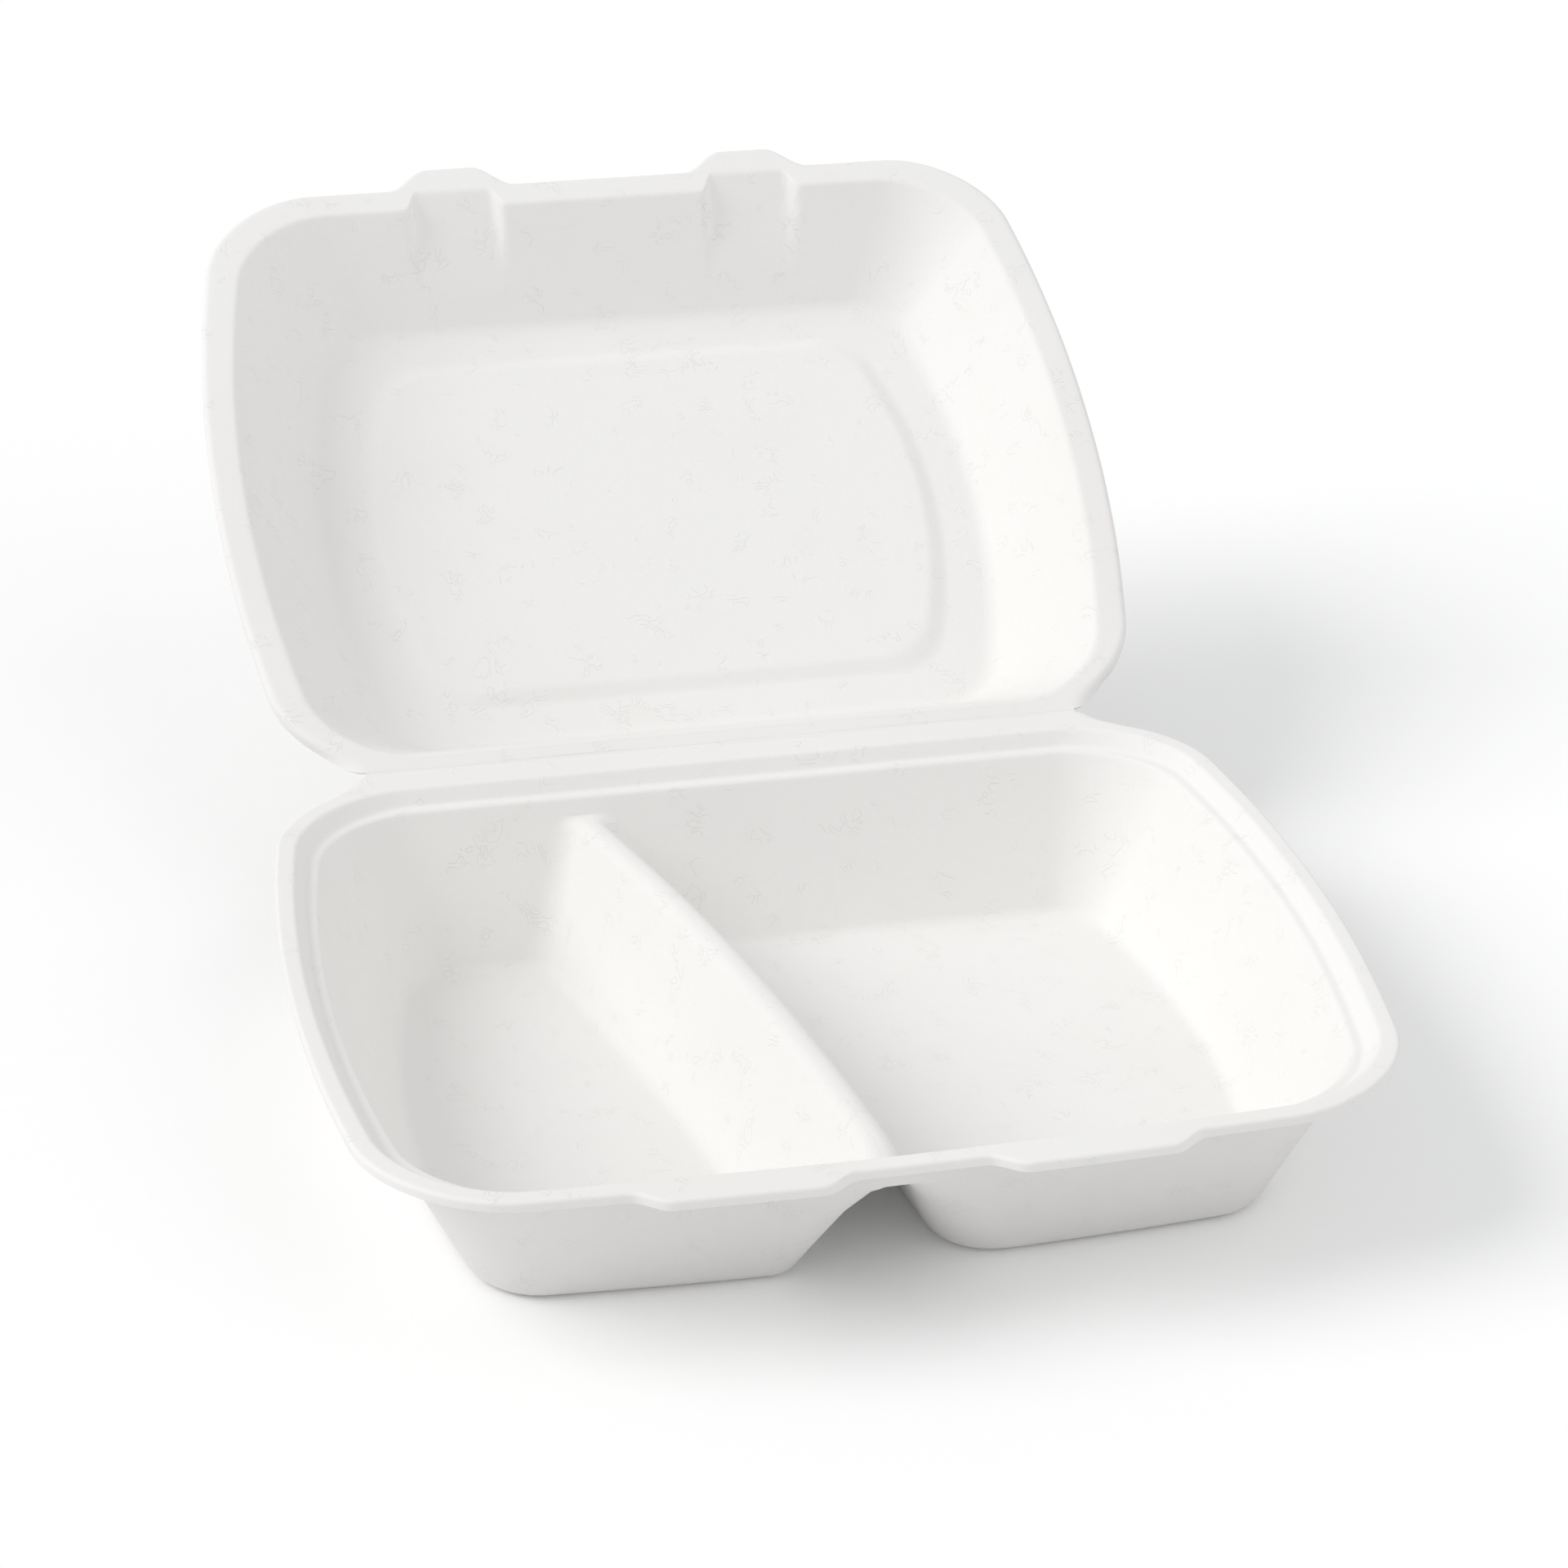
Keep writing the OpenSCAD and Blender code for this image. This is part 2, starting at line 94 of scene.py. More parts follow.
def rounded(corners: Sequence[tuple[float, float]], radii: Sequence[float], turn_steps: int,
            straight_steps: int) -> np.ndarray:
    """Rounds the inner corners of a section and divides it evenly.

    Args:
        corners: the section's ends and corners, as runs and heights.
        radii: one radius for each inner corner.
        turn_steps: steps round each corner.
        straight_steps: steps along each straight between two corners.

    Returns:
        The section's points, one row each.
    """
    points = [np.array(c, float) for c in corners]
    turned = [points[0][None]]
    for before, corner, after, radius in zip(points, points[1:], points[2:], radii):
        to_before = (before - corner) / np.linalg.norm(before - corner)
        to_after = (after - corner) / np.linalg.norm(after - corner)
        half = math.acos(float(np.clip(to_before @ to_after, -1, 1))) / 2
        reach = radius / math.tan(half)
        inwards = (to_before + to_after) / np.linalg.norm(to_before + to_after)
        centre = corner + inwards * radius / math.sin(half)
        first = corner + to_before * reach - centre
        last = corner + to_after * reach - centre
        angle = math.atan2(first[0] * last[1] - first[1] * last[0], first @ last)
        turns = np.linspace(0, angle, turn_steps + 1)
        turned.append(np.stack([centre[0] + first[0] * np.cos(turns) - first[1] * np.sin(turns),
                                centre[1] + first[0] * np.sin(turns) + first[1] * np.cos(turns)], axis=1))
    turned.append(points[-1][None])
    rows = [turned[0]]
    for arc in turned[1:]:
        shares = np.linspace(0, 1, straight_steps + 1)[1:-1, None]
        rows.append(lerp(rows[-1][-1], arc[0], shares))
        rows.append(arc)
    return np.concatenate(rows)


def along(section: np.ndarray) -> np.ndarray:
    """Returns the distance of each point of a section from its start, along it."""
    return np.concatenate([[0], np.cumsum(np.linalg.norm(np.diff(section, axis=0), axis=1))])


class FaceBuilder:
    """Gathers the four-sided faces of one side of a sheet and makes a mesh of them."""

    def __init__(self) -> None:
        """Starts with no faces."""
        self.quads: list[np.ndarray] = []

    def strip(self, outer: np.ndarray, inner: np.ndarray) -> None:
        """Joins two open rows of points.

        Args:
            outer: the row on the right of its own direction, seen from the side that is shown.
            inner: the row on the left, with as many points.
        """
        self.quads.append(np.stack([outer[:-1], outer[1:], inner[1:], inner[:-1]], axis=1))

    def band(self, outer: np.ndarray, inner: np.ndarray) -> None:
        """Joins two closed rows of points, which run anticlockwise."""
        self.strip(np.concatenate([outer, outer[:1]]), np.concatenate([inner, inner[:1]]))

    def bands(self, rows: Rows) -> None:
        """Joins each closed row to the next."""
        for outer, inner in zip(rows, rows[1:]):
            self.band(outer, inner)

    def panel(self, row: np.ndarray, rings: int) -> None:
        """Fills a closed level row with rings that shrink towards its middle.

        Args:
            row: the row of points.
            rings: number of rings.
        """
        middle = (row[:, :3].min(axis=0) + row[:, :3].max(axis=0)) / 2
        centre = np.concatenate([middle, row[0, 3:]])
        self.bands([lerp(row, centre, share) for share in np.linspace(0, 1, rings + 1)])

    def shift(self, field: Callable[[np.ndarray], np.ndarray]) -> None:
        """Moves all corners by a field, which takes an array of corners and returns the moved ones."""
        self.quads = [field(quad) for quad in self.quads]

    def mesh(self, name: str, marks: Sequence[str]) -> bpy.types.Mesh:
        """Merges the corners of the faces and makes the mesh.

        Args:
            name: the mesh's name.
            marks: names of the point attributes that follow x, y and z in each point.

        Returns:
            The mesh, in metres.
        """
        corners = np.concatenate(self.quads).reshape(-1, 3 + len(marks))
        _, first, index = np.unique(np.round(corners[:, :3], 5), axis=0, return_index=True,
                                    return_inverse=True)
        faces = []
        for quad in index.reshape(-1, 4):
            loop = [int(v) for k, v in enumerate(quad) if v != quad[k - 1]]
            if len(set(loop)) > 2:
                faces.append(loop)
        mesh = bpy.data.meshes.new(name)
        mesh.from_pydata((corners[first, :3] * MM).tolist(), [], faces)
        for k, mark in enumerate(marks):
            layer = mesh.attributes.new(mark, "FLOAT", "POINT")
            layer.data.foreach_set("value", corners[first, 3 + k].astype(np.float32))
        mesh.update()
        return mesh


MARKS = ("thickness", "pressed")
RIM_PRESSED = 0.5


@dataclass(frozen=True)
class Crease:
    """The pressed line at which the sheet bends, and the web on both sides of it."""

    tray_side: float = 4.8
    lid_side: float = 3.0
    length: float = 188.5
    run_out: float = 8.0
    half_strip: float = 0.7
    gap: float = 0.2
    thickness: float = 0.6
    groove: float = 0.22
    lid_angle: float = 28.0

    def share(self, x: np.ndarray) -> np.ndarray:
        """Returns the share by which a rim's outer edge becomes the web, by its place along the crease."""
        return ease((self.length / 2 + self.run_out / 2 - np.abs(x)) / self.run_out)


@dataclass(frozen=True)
class Rim:
    """What the rims of the tray and the lid have in common."""

    edge_r: float = 1.6
    turn: float = 3.4
    lip_run: float = 3.4


@dataclass(frozen=True)
class RimTable:
    """A rim's section with what its points need to become the web."""

    section: np.ndarray
    reach: np.ndarray

    @classmethod
    def of(cls, section: np.ndarray, lip_run: float) -> "RimTable":
        """Measures how far along the rim's top each point lies.

        Args:
            section: the section's points.
            lip_run: run at which the web ends.

        Returns:
            The table, whose reach is 0 at the rim's edge and 1 from the lip inwards.
        """
        lengths = along(section)
        past = np.nonzero(section[:, 0] >= lip_run)[0][0]
        start, end = section[past - 1], section[past]
        share = (lip_run - start[0]) / (end[0] - start[0])
        lip = lerp(lengths[past - 1], lengths[past], share)
        return cls(section, np.clip(lengths / lip, 0, 1))


class Stretch(Enum):
    """The stretches of one side's half of the tray's rim, from the front to the back."""

    FRONT = 0
    FRONT_CORNER = 1
    SIDE = 2
    BACK_CORNER = 3
    BACK = 4


@dataclass(frozen=True)
class Tray:
    """The tray: a rim, a ledge, and two wells moulded in one sheet with a hollow divider between."""

    crease: Crease
    rim: Rim
    width: float = 242.0
    depth: float = 193.0
    height: float = 42.0
    side_bow: float = 10.0
    front_bow: float = 4.0
    rim_r: float = 28.0
    floor_r: float = 10.0
    wall_run: float = 25.0
    foot_r: float = 3.5
    thickness: float = 1.0
    slope_start: float = 4.2
    slope_run: float = 6.8
    ledge_run: float = 9.2
    ledge_drop: float = 3.8
    ledge_r: float = 1.3
    slope_r: float = 1.4
    catch_x: float = 38.0
    catch_flat: float = 32.0
    catch_root: float = 49.0
    catch_out: float = 4.5
    divider_back_x: float = -42.5
    divider_front_x: float = -2.0
    divider_bow: float = 6.3
    divider_drop: float = 8.5
    crest_half: float = 0.4
    crest_r: float = 4.0
    flank_draft: float = 24.0
    divider_foot_r: float = 4.0
    divider_end_r: float = 5.0
    arch_top_r: float = 7.0
    arch_foot_r: float = 14.0
    flare: float = 0.6
    dip: float = 3.2
    dip_flat: float = 5.0
    dip_fade: float = 10.0
    floor_margin: float = 1.5
    floor_rings: int = 6
    turn_steps: int = 6
    straight_steps: int = 3
    divider_steps: int = 44
    end_steps: int = 12

    def steps(self, stretch: Stretch) -> int:
        """Returns the number of steps along a stretch."""
        return {Stretch.FRONT: 72, Stretch.FRONT_CORNER: 22, Stretch.SIDE: 30, Stretch.BACK_CORNER: 36,
                Stretch.BACK: 40}[stretch]

    def half_w(self) -> float:
        """Returns half of the rim's width at its corners."""
        return self.width / 2 - self.side_bow

    def front(self) -> float:
        """Returns the distance from the middle to the front edge at its corners."""
        return self.depth / 2 - self.front_bow

    def crest_z(self) -> float:
        """Returns the height of the divider's crest."""
        return self.height - self.divider_drop

    def wall_at(self, z: float) -> float:
        """Returns the run at which the outer wall is at a height."""
        ledge_z = self.height - self.ledge_drop
        return lerp(self.ledge_run, self.wall_run, (ledge_z - z) / (ledge_z - self.thickness))

    def corner_r(self, run: float) -> float:
        """Returns the radius of a ring's corners at a run in from the rim's edge."""
        return lerp(self.rim_r, self.floor_r, min(max(run / self.wall_run, 0), 1))

    def front_y(self, x: Any, run: float) -> Any:
        """Returns the place in y of the bowed front at x, for a ring at a run."""
        front = self.front() - run
        return -front * (1 + self.front_bow / front * (1 - (x / (self.half_w() - run)) ** 2))

    def divider_x(self, y: Any) -> Any:
        """Returns the place in x of the divider's crest at y."""
        return lerp(self.divider_front_x, self.divider_back_x, (y + self.depth / 2) / self.depth) \
            + self.divider_bow * (1 - (2 * y / self.depth) ** 2)

    def flank_x(self, side: int, y: Any, half: float) -> Any:
        """Returns the place in x of a flank of the divider.

        Args:
            side: -1 for the left flank, 1 for the right one.
            y: place along the divider.
            half: distance of the flank from the crest line, square to it.
        """
        skew = math.hypot(1, (self.divider_back_x - self.divider_front_x) / self.depth)
        return self.divider_x(y) + side * half * skew

    def corners(self, side: int, run: float, half: float) -> tuple[np.ndarray, np.ndarray]:
        """Returns where a flank would meet the front wall, and where the back wall."""
        front_x = self.flank_x(side, run - self.depth / 2, half)
        back_y = self.depth / 2 - run
        back_x = self.flank_x(side, back_y, half)
        return np.array([front_x, self.front_y(front_x, run)]), np.array([back_x, back_y])

    def half_ring(self, side: int, run: float, ends: tuple[float, float]) -> tuple[np.ndarray, np.ndarray]:
        """Walks one side's half of a ring, from the divider at the front to the divider at the back.

        Args:
            side: -1 for the left half, 1 for the right one.
            run: the ring's distance in from the rim's edge.
            ends: places in x of its start and its end.

        Returns:
            The points in x and y, and the stretch of each.
        """
        half_w, r = self.half_w() - run, self.corner_r(run)
        front, back = self.front() - run, self.depth / 2 - run
        points, stretches = [], []
        for stretch in Stretch:
            f = np.linspace(0, 1, self.steps(stretch) + 1)
            f = f if stretch is Stretch.FRONT else f[1:]
            level = np.ones_like(f)
            if stretch is Stretch.FRONT:
                xy = [lerp(side * ends[0], half_w - r, f), -front * level]
            elif stretch is Stretch.FRONT_CORNER:
                xy = [half_w - r + r * np.sin(f * math.pi / 2), r - front - r * np.cos(f * math.pi / 2)]
            elif stretch is Stretch.SIDE:
                xy = [half_w * level, lerp(r - front, back - r, f)]
            elif stretch is Stretch.BACK_CORNER:
                xy = [half_w - r + r * np.cos(f * math.pi / 2), back - r + r * np.sin(f * math.pi / 2)]
            else:
                xy = [lerp(half_w - r, side * ends[1], f), back * level]
            points.append(np.stack(xy, axis=1))
            stretches.append(np.full(len(f), stretch.value))
        xy = np.concatenate(points)
        mid, half_d = (back - front) / 2, (back + front) / 2
        x = xy[:, 0] * (1 + self.side_bow / half_w * (1 - ((xy[:, 1] - mid) / half_d) ** 2))
        y = np.where(xy[:, 1] < 0, xy[:, 1] + self.front_y(x, run) + front, xy[:, 1])
        return np.stack([side * x, y], axis=1), np.concatenate(stretches)

    def bend_r(self, side: int, z: float) -> float:
        """Returns the radius of a well's upright bend at the front. The right well's grows downwards."""
        if side < 0:
            return self.divider_end_r
        top = self.crest_z() + self.flare
        return lerp(self.arch_top_r, self.arch_foot_r, (top - z) / (top - self.thickness))

    def wall_ends(self, side: int, run: float, half: float, z: float) -> tuple[float, float]:
        """Returns where one side's outer wall ends in x at the front and at the back."""
        front, back = self.corners(side, run, half)
        return front[0] + side * self.bend_r(side, z), back[0] + side * self.divider_end_r

    def rim_section(self) -> np.ndarray:
        """Returns the section through the rim, from its edge over the ledge to the crest's level."""
        ledge_z, end_z = self.height - self.ledge_drop, self.crest_z() + self.flare
        return rounded([(0, self.height - self.rim.turn), (0, self.height), (self.slope_start, self.height),
                        (self.slope_run, ledge_z), (self.ledge_run, ledge_z), (self.wall_at(end_z), end_z)],
                       [self.rim.edge_r, self.slope_r, self.slope_r, self.ledge_r], self.turn_steps,
                       self.straight_steps)

    def wall_section(self) -> np.ndarray:
        """Returns the outer wall's section below the crest, whose points pair with the divider's."""
        divider, count = self.divider_section(), self.straight_steps + self.turn_steps + 1
        start_z, end_z = self.crest_z() + self.flare, divider[count - 1][1]
        lengths = along(divider[:count])
        z = lerp(start_z, end_z, lengths / lengths[-1])
        foot = rounded([(self.wall_at(end_z), end_z), (self.wall_run, self.thickness),
                        (self.wall_run + self.foot_r + self.floor_margin, self.thickness)], [self.foot_r],
                       self.turn_steps, self.straight_steps)
        return np.concatenate([np.column_stack([self.wall_at(z), z])[:-1], foot])

    def divider_section(self) -> np.ndarray:
        """Returns the section through half of the divider."""
        draft = math.radians(self.flank_draft)
        corner = self.crest_half + self.crest_r * math.tan((math.pi / 2 - draft) / 2)
        crest_z = self.crest_z()
        foot = corner + (crest_z - self.thickness) * math.tan(draft)
        return rounded([(self.crest_half / 2, crest_z), (corner, crest_z), (foot, self.thickness),
                        (foot + self.divider_foot_r + self.floor_margin, self.thickness)],
                       [self.crest_r, self.divider_foot_r], self.turn_steps, self.straight_steps)

    def marked(self, xy: np.ndarray, z: Any, thickness: Any, pressed: Any) -> np.ndarray:
        """Returns rows of x, y, z, thickness and how firmly the sheet is pressed there."""
        level = np.ones(len(xy))
        return np.column_stack([xy, z * level, thickness * level, pressed * level])

    def rim_half(self, side: int, table: RimTable, k: int) -> np.ndarray:
        """Makes one side's half of the rim's ring k, with its closing lip and its share of the web."""
        run, z = table.section[k]
        ends = self.wall_ends(side, table.section[-1][0], self.crest_half / 2, table.section[-1][1])
        xy, stretch = self.half_ring(side, run, ends)
        lip, _ = self.half_ring(side, self.rim.lip_run, ends)
        reach = table.reach[k]
        out = bumps(xy[:, 0], self.catch_x, self.catch_flat, self.catch_root) * self.catch_out
        out = np.where(stretch <= Stretch.FRONT_CORNER.value, out, 0) * ease((1 - reach) * 2)
        at_back = stretch >= Stretch.BACK_CORNER.value
        share = np.where(at_back, self.crease.share(lip[:, 0]), 0) * (reach < 1)
        web_y = lerp(self.depth / 2 + self.crease.tray_side - self.crease.half_strip, lip[:, 1], reach)
        pushed = xy - np.stack([0 * out, out], axis=1)
        plain = self.marked(pushed, z, self.thickness, RIM_PRESSED * (reach < 1))
        web = self.marked(np.stack([lip[:, 0], web_y], axis=1), self.height, self.crease.thickness, 1)
        return lerp(plain, web, share[:, None])

    def well_ring(self, side: int, wall: np.ndarray, divider: np.ndarray) -> tuple[np.ndarray, np.ndarray]:
        """Makes one ring of a well.

        Args:
            side: -1 for the left well, 1 for the right one.
            wall: run and height of the ring at the outer wall.
            divider: its distance from the crest line and its height at the divider.

        Returns:
            The ring's half along the wall from front to back, and the rest from back to front.
        """
        run, half = wall[0], divider[0]
        xy, _ = self.half_ring(side, run, self.wall_ends(side, run, half, wall[1]))
        front, back = self.corners(side, run, half)
        y = np.linspace(back[1] - self.divider_end_r, front[1] + self.bend_r(side, wall[1]),
                        self.divider_steps + 1)
        flank = np.stack([self.flank_x(side, y, half), y], axis=1)
        t = np.linspace(0, 1, self.end_steps + 1)[1:-1, None]
        to_flank = lerp(lerp(xy[-1], back, t), lerp(back, flank[0], t), t)
        to_wall = lerp(lerp(flank[-1], front, t), lerp(front, xy[0], t), t)
        rise = t[:, 0] ** 2
        z = np.concatenate([lerp(divider[1], wall[1], rise[::-1]), np.full(len(y), divider[1]),
                            lerp(divider[1], wall[1], rise)])
        inner = np.concatenate([to_flank, flank, to_wall])
        return self.marked(xy, wall[1], self.thickness, 0), self.marked(inner, z, self.thickness, 0)

    def dipped(self, corners: np.ndarray) -> np.ndarray:
        """Lets the crest sink where it meets the front wall, over the arch that is seen from outside."""
        end_y = self.front_y(self.divider_front_x, self.wall_at(self.crest_z()))
        apart = np.hypot(corners[..., 0] - self.divider_front_x, corners[..., 1] - end_y)
        levels = [self.thickness, self.crest_z(), self.height - self.ledge_drop]
        low = np.interp(corners[..., 2], levels, [0, 1, 0])
        moved = corners.copy()
        moved[..., 2] -= self.dip * low * (1 - ease((apart - self.dip_flat) / self.dip_fade))
        return moved

    def upper_face(self) -> bpy.types.Mesh:
        """Makes the tray's upper face, seen from above, in the tray's own place."""
        faces = FaceBuilder()
        table = RimTable.of(self.rim_section(), self.rim.lip_run)
        faces.bands([np.concatenate([self.rim_half(1, table, k), self.rim_half(-1, table, k)[::-1]])
                     for k in range(len(table.section))])
        crest = {}
        for side in (-1, 1):
            rings = [self.well_ring(side, wall, divider)
                     for wall, divider in zip(self.wall_section(), self.divider_section())]
            rows = [np.concatenate(ring)[::side] for ring in rings]
            faces.bands(rows)
            faces.panel(rows[-1], self.floor_rings)
            outer, inner = rings[0]
            crest[side] = np.concatenate([outer[-1:], inner, outer[:1]])
        faces.strip(crest[-1], crest[1])
        faces.shift(self.dipped)
        return faces.mesh("tray_sheet", MARKS)


@dataclass(frozen=True)
class Lid:
    """The lid, made lying open with its inside up and its tabs to the front."""

    crease: Crease
    rim: Rim
    width: float = 234.0
    depth: float = 189.0
    height: float = 26.4
    side_bow: float = 11.5
    rim_r: float = 25.6
    panel_r: float = 10.0
    rim_w: float = 8.0
    hinge_start: float = -1.4
    hinge_lip: float = 0.6
    hinge_rim_w: float = 3.2
    side_run: float = 28.3
    front_run: float = 30.0
    hinge_run: float = 21.0
    border_w: float = 11.5
    step_h: float = 1.8
    step_run: float = 4.0
    thickness: float = 0.6
    tab_x: float = 41.0
    tab_flat: float = 12.5
    tab_root: float = 34.5
    tab_out: float = 7.0
    pocket_h: float = 10.5
    pocket_shelf: float = 2.2
    pocket_out: float = 6.0
    pocket_flat: float = 20.0
    pocket_root: float = 27.0
    shelf_drop: float = 1.2
    rim_inner_r: float = 2.0
    foot_r: float = 5.0
    step_r: float = 5.0
    panel_margin: float = 4.0
    panel_rings: int = 8
    turn_steps: int = 6
    straight_steps: int = 5
    edge_steps: int = 150
    corner_steps: int = 30
    side_steps: int = 32

    def half_w(self) -> float:
        """Returns half of the rim's width at its corners."""
        return self.width / 2 - self.side_bow

    def hinge_reach(self) -> float:
        """Returns the distance from the lid's middle to the crease."""
        return self.crease.lid_side + self.depth / 2

    def stations(self) -> np.ndarray:
        """Returns the rim's stations: shares of the straight edges across and along, and an angle."""
        def edge(fixed: tuple[Optional[int], Optional[int]], angle: float, steps: int) -> np.ndarray:
            """Returns the stations of one straight edge, without its ends."""
            run = np.linspace(-1, 1, steps + 1)[1:-1]
            run = run if angle in (-90, 0) else -run
            x = run if fixed[0] is None else np.full_like(run, fixed[0])
            y = run if fixed[1] is None else np.full_like(run, fixed[1])
            return np.column_stack([x, y, np.full_like(run, angle)])

        def arc(x: int, y: int, start: float) -> np.ndarray:
            """Returns the stations of one corner."""
            turn = np.linspace(start, start + 90, self.corner_steps + 1)
            return np.column_stack([np.full_like(turn, x), np.full_like(turn, y), turn])

        return np.concatenate([
            edge((None, -1), -90, self.edge_steps), arc(1, -1, -90), edge((1, None), 0, self.side_steps),
            arc(1, 1, 0), edge((None, 1), 90, self.edge_steps), arc(-1, 1, 90),
            edge((-1, None), 180, self.side_steps), arc(-1, -1, 180)])

    def corner_r(self, run: float) -> float:
        """Returns the radius of a ring's corners at a run in from the rim's edge."""
        return lerp(self.rim_r, self.panel_r, min(max(run / self.side_run, 0), 1))

    def ring_points(self, stations: np.ndarray, side: float, front: float, back: float) -> np.ndarray:
        """Places a ring.

        Args:
            stations: the rim's stations.
            side: run in from the rim's edge at the two sides.
            front: run at the tabs.
            back: run at the hinge.

        Returns:
            The points in x and y.
        """
        half_w, r = self.half_w() - side, self.corner_r(side)
        front_y, back_y = self.depth / 2 - front, self.depth / 2 - back
        mid, half_d = (back_y - front_y) / 2, (back_y + front_y) / 2
        angle = np.radians(stations[:, 2])
        x = stations[:, 0] * (half_w - r) + r * np.cos(angle)
        y = mid + stations[:, 1] * (half_d - r) + r * np.sin(angle)
        return np.stack([x * (1 + self.side_bow / half_w * (1 - ((y - mid) / half_d) ** 2)), y], axis=1)

    def section(self, run: float, start: float, rim_w: float) -> np.ndarray:
        """Returns the lid's section.

        Args:
            run: where the wall ends.
            start: where the rim starts.
            rim_w: the rim's width.
        """
        top, bottom = -self.crease.gap, -self.crease.gap - self.height
        inner = run + self.border_w
        return rounded(
            [(start, top - self.rim.turn), (start, top), (start + rim_w, top), (run, bottom),
             (inner, bottom), (inner + self.step_run, bottom + self.step_h),
             (inner + self.step_run + self.panel_margin, bottom + self.step_h)],
            [self.rim.edge_r, self.rim_inner_r, self.foot_r, self.step_r, self.step_r],
            self.turn_steps, self.straight_steps)

    def push(self, x: np.ndarray, run: float, z: float) -> np.ndarray:
        """Returns how far a ring is pushed out by a tab and by the pocket behind it.

        Args:
            x: places along the ring's front.
            run: the ring's run at the tabs.
            z: its height.
        """
        depth = -self.crease.gap - z
        tab = self.tab_out * bumps(x, self.tab_x, self.tab_flat, self.tab_root)
        shelf = 1 - ease((depth - self.pocket_h) / self.shelf_drop)
        pocket = lerp(self.pocket_out, self.pocket_shelf, min(depth / self.pocket_h, 1)) * shelf \
            * bumps(x, self.tab_x, self.pocket_flat, self.pocket_root)
        return lerp(tab, pocket, ease(run / self.rim_w))

    def ring(self, stations: np.ndarray, tables: Sequence[RimTable], k: int) -> np.ndarray:
        """Makes the lid's ring k.

        Args:
            stations: the rim's stations.
            tables: the sections at the sides, at the tabs and at the hinge.
            k: place of the ring in each section.
        """
        side, front, hinge = (table.section[k] for table in tables)
        at_hinge = (stations[:, 1] == 1) & (stations[:, 2] > 0) & (stations[:, 2] < 180)
        reach = np.where(at_hinge, tables[2].reach[k], tables[0].reach[k])
        xy = self.ring_points(stations, side[0], front[0], hinge[0])
        lip = self.ring_points(stations, self.rim.lip_run, self.rim.lip_run, self.hinge_lip)
        edge_z = np.where(stations[:, 1] < 0, front[1], hinge[1])
        z = lerp(side[1], edge_z, np.sin(np.radians(stations[:, 2])) ** 2)
        out = np.where(stations[:, 2] == -90, self.push(xy[:, 0], front[0], front[1]), 0)
        share = np.where(at_hinge, self.crease.share(lip[:, 0]), 0) * (reach < 1)
        web_y = lerp(self.hinge_reach() - self.crease.half_strip, lip[:, 1], reach)
        level = np.ones(len(xy))
        plain = np.column_stack([xy[:, 0], xy[:, 1] - out, z, self.thickness * level,
                                 RIM_PRESSED * (reach < 1) * level])
        web = np.column_stack([lip[:, 0], web_y, -self.crease.gap * level, self.crease.thickness * level,
                               level])
        return lerp(plain, web, share[:, None])

    def upper_face(self) -> bpy.types.Mesh:
        """Makes the lid's inner face, lying open with its inside up."""
        faces = FaceBuilder()
        stations = self.stations()
        hinge = self.section(self.hinge_run, self.hinge_start, self.hinge_rim_w)
        tables = [RimTable.of(self.section(self.side_run, 0, self.rim_w), self.rim.lip_run),
                  RimTable.of(self.section(self.front_run, 0, self.rim_w), self.rim.lip_run),
                  RimTable.of(hinge, self.hinge_lip)]
        rings = [self.ring(stations, tables, k) for k in range(len(tables[0].section))]
        faces.bands(rings)
        faces.panel(rings[-1], self.panel_rings)
        return faces.mesh("lid_sheet", MARKS)


class Sock:
    """A shader or geometry node's output, on which Python's operators add Math nodes."""

    def __init__(self, tree: "Tree", socket: bpy.types.NodeSocket) -> None:
        """Wraps an output socket of a tree."""
        self.tree = tree
        self.socket = socket

    def _math(self, operation: str, *values: "Value") -> "Sock":
        """Returns the result of a Math node."""
        return self.tree.node("ShaderNodeMath", {"operation": operation}, dict(enumerate(values)))

    def __add__(self, other: "Value") -> "Sock":
        """Returns the sum."""
        return self._math("ADD", self, other)

    __radd__ = __add__

    def __sub__(self, other: "Value") -> "Sock":
        """Returns the difference."""
        return self._math("SUBTRACT", self, other)

    def __rsub__(self, other: "Value") -> "Sock":
        """Returns other minus this."""
        return self._math("SUBTRACT", other, self)

    def __mul__(self, other: "Value") -> "Sock":
        """Returns the product."""
        return self._math("MULTIPLY", self, other)

    __rmul__ = __mul__

    def __truediv__(self, other: "Value") -> "Sock":
        """Returns the quotient."""
        return self._math("DIVIDE", self, other)

    def absolute(self) -> "Sock":
        """Returns the value without its sign."""
        return self._math("ABSOLUTE", self)

    def sine(self) -> "Sock":
        """Returns the sine."""
        return self._math("SINE", self)

    def smooth(self, low: float, high: float) -> "Sock":
        """Returns a smooth rise from 0 at low to 1 at high, or a fall if low is the larger."""
        settings = {"interpolation_type": "SMOOTHSTEP"}
        if low < high:
            inputs = {"Value": self, "From Min": low, "From Max": high}
            return self.tree.node("ShaderNodeMapRange", settings, inputs)
        return 1 - self.smooth(high, low)


Value = Union[Sock, float, int, bool, tuple, bpy.types.ID]


